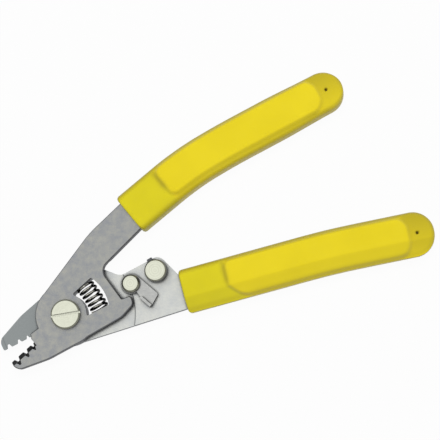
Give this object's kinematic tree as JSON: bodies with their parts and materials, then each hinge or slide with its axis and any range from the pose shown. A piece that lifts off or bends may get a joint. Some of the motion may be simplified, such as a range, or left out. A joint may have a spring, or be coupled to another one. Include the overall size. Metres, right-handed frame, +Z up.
{
  "type": "fibre-optic cable stripper",
  "caption": "Hand stripper for glass-fibre cable: two lapped plier levers with notched shear jaws, a coil return spring in a window, a swing latch and yellow moulded grips.",
  "frame": {"origin": "Middle of the tool's bounding box at rest, on the surface that the grips lie on.", "axes": "+X runs from the jaws to the grips' ends, +Y from the lower handle to the upper handle as the tool lies, +Z up out of the plates."},
  "size_m": [0.1608, 0.11, 0.0115],
  "materials": {
    "front_plate": "satin, lightly mottled steel",
    "rear_plate": "satin steel",
    "turned_fasteners": "fine turned, nickel plated",
    "back_fasteners": "satin steel",
    "spring_wire": "drawn spring wire",
    "latch_plate": "satin steel",
    "stop_key": "dark satin steel",
    "yellow_grip": "moulded, semi-matt"
  },
  "bodies": {
    "rear_handle": {"rear_lever": "rear_plate", "lower_grip": "yellow_grip", "pivot_screw": "turned_fasteners", "pivot_washer": "back_fasteners", "pivot_nut": "back_fasteners", "return_spring": "spring_wire", "latch_rivet": "turned_fasteners", "latch_washer": "back_fasteners", "stop_post": "turned_fasteners", "stop_key": "stop_key"},
    "front_handle": {"front_lever": "front_plate", "upper_grip": "yellow_grip"},
    "latch": {"latch_lever": "latch_plate"}
  },
  "joints": [
    {"name": "lever_pivot", "type": "hinge", "parent": "rear_handle", "child": "front_handle", "pos_m": [-0.0554, -0.03497, 0.00575], "axis": [0, 0, 1], "range_deg": [-15, 2], "stiffness_Nm_per_rad": 2.5, "deforming": ["return_spring"]},
    {"name": "latch_pivot", "type": "hinge", "parent": "rear_handle", "child": "latch", "pos_m": [-0.03138, -0.02366, 0.00575], "axis": [0, 0, 1], "range_deg": [-23, 0]}
  ]
}
